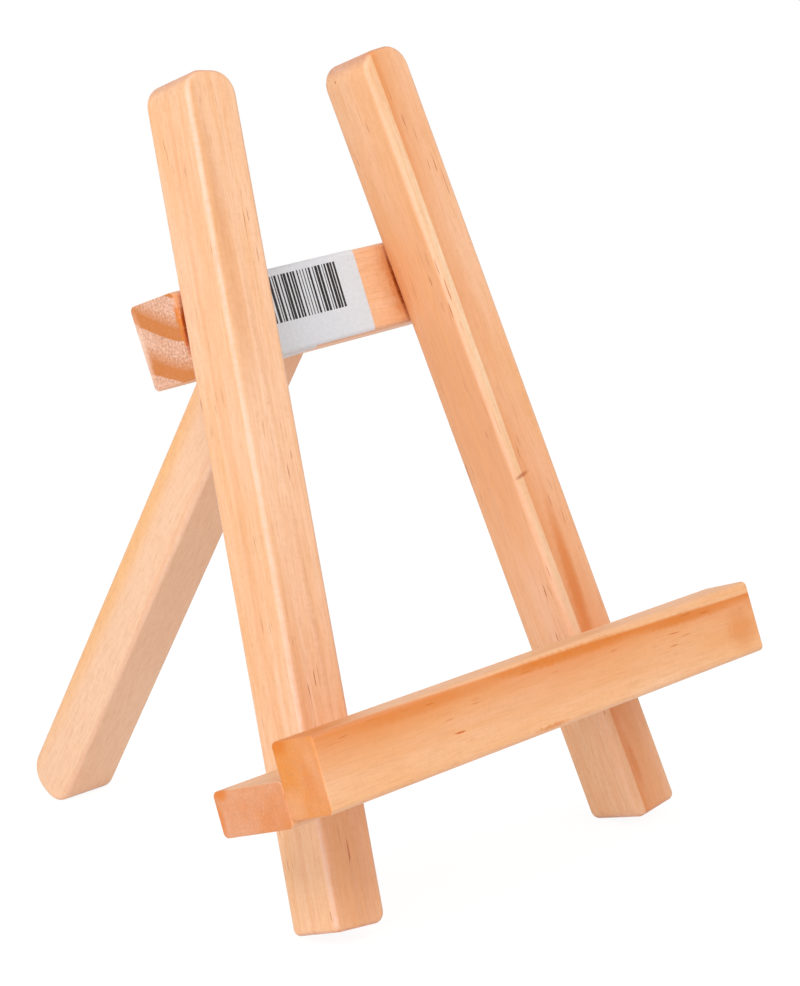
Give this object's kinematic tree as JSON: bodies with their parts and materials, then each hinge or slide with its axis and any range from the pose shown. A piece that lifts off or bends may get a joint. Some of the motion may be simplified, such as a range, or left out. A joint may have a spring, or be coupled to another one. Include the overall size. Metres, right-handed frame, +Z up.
{
  "type": "tabletop artist easel",
  "caption": "Small wooden tabletop easel: two splayed uprights, rear crossbar, canvas ledge with a lip and a hinged back leg.",
  "frame": {"origin": "on the table, under the middle of the open easel's bounding box", "axes": "+Z up, +X to the right for someone in front of the easel, +Y towards the back leg"},
  "size_m": [0.1204, 0.1704, 0.1631],
  "materials": {
    "softwood": "clear satin varnish on pine",
    "dowel_wood": "bare beech",
    "hinge_brass": "stamped, plain",
    "hinge_steel": "bright",
    "label_paper": "coated paper, semi-matt"
  },
  "bodies": {
    "frame": {"left_upright": "softwood", "right_upright": "softwood", "rear_crossbar": "softwood", "ledge_shelf": "softwood", "ledge_lip": "softwood", "crossbar_dowel_left": "dowel_wood", "crossbar_dowel_right": "dowel_wood", "shelf_dowel_left": "dowel_wood", "shelf_dowel_right": "dowel_wood", "lip_dowel_left": "dowel_wood", "lip_dowel_middle": "dowel_wood", "lip_dowel_right": "dowel_wood", "hinge_leaf_crossbar": "hinge_brass", "hinge_pin": "hinge_steel", "hinge_screw_crossbar_left": "hinge_steel", "hinge_screw_crossbar_right": "hinge_steel", "paper_label": "label_paper"},
    "leg": {"back_leg": "softwood", "hinge_leaf_leg": "hinge_brass", "hinge_screw_leg_left": "hinge_steel", "hinge_screw_leg_right": "hinge_steel"}
  },
  "joints": [
    {"name": "leg_fold", "type": "hinge", "parent": "frame", "child": "leg", "pos_m": [0.0082, -0.00952, 0.10392], "axis": [-1, 0, 0], "range_deg": [0, 52]}
  ]
}
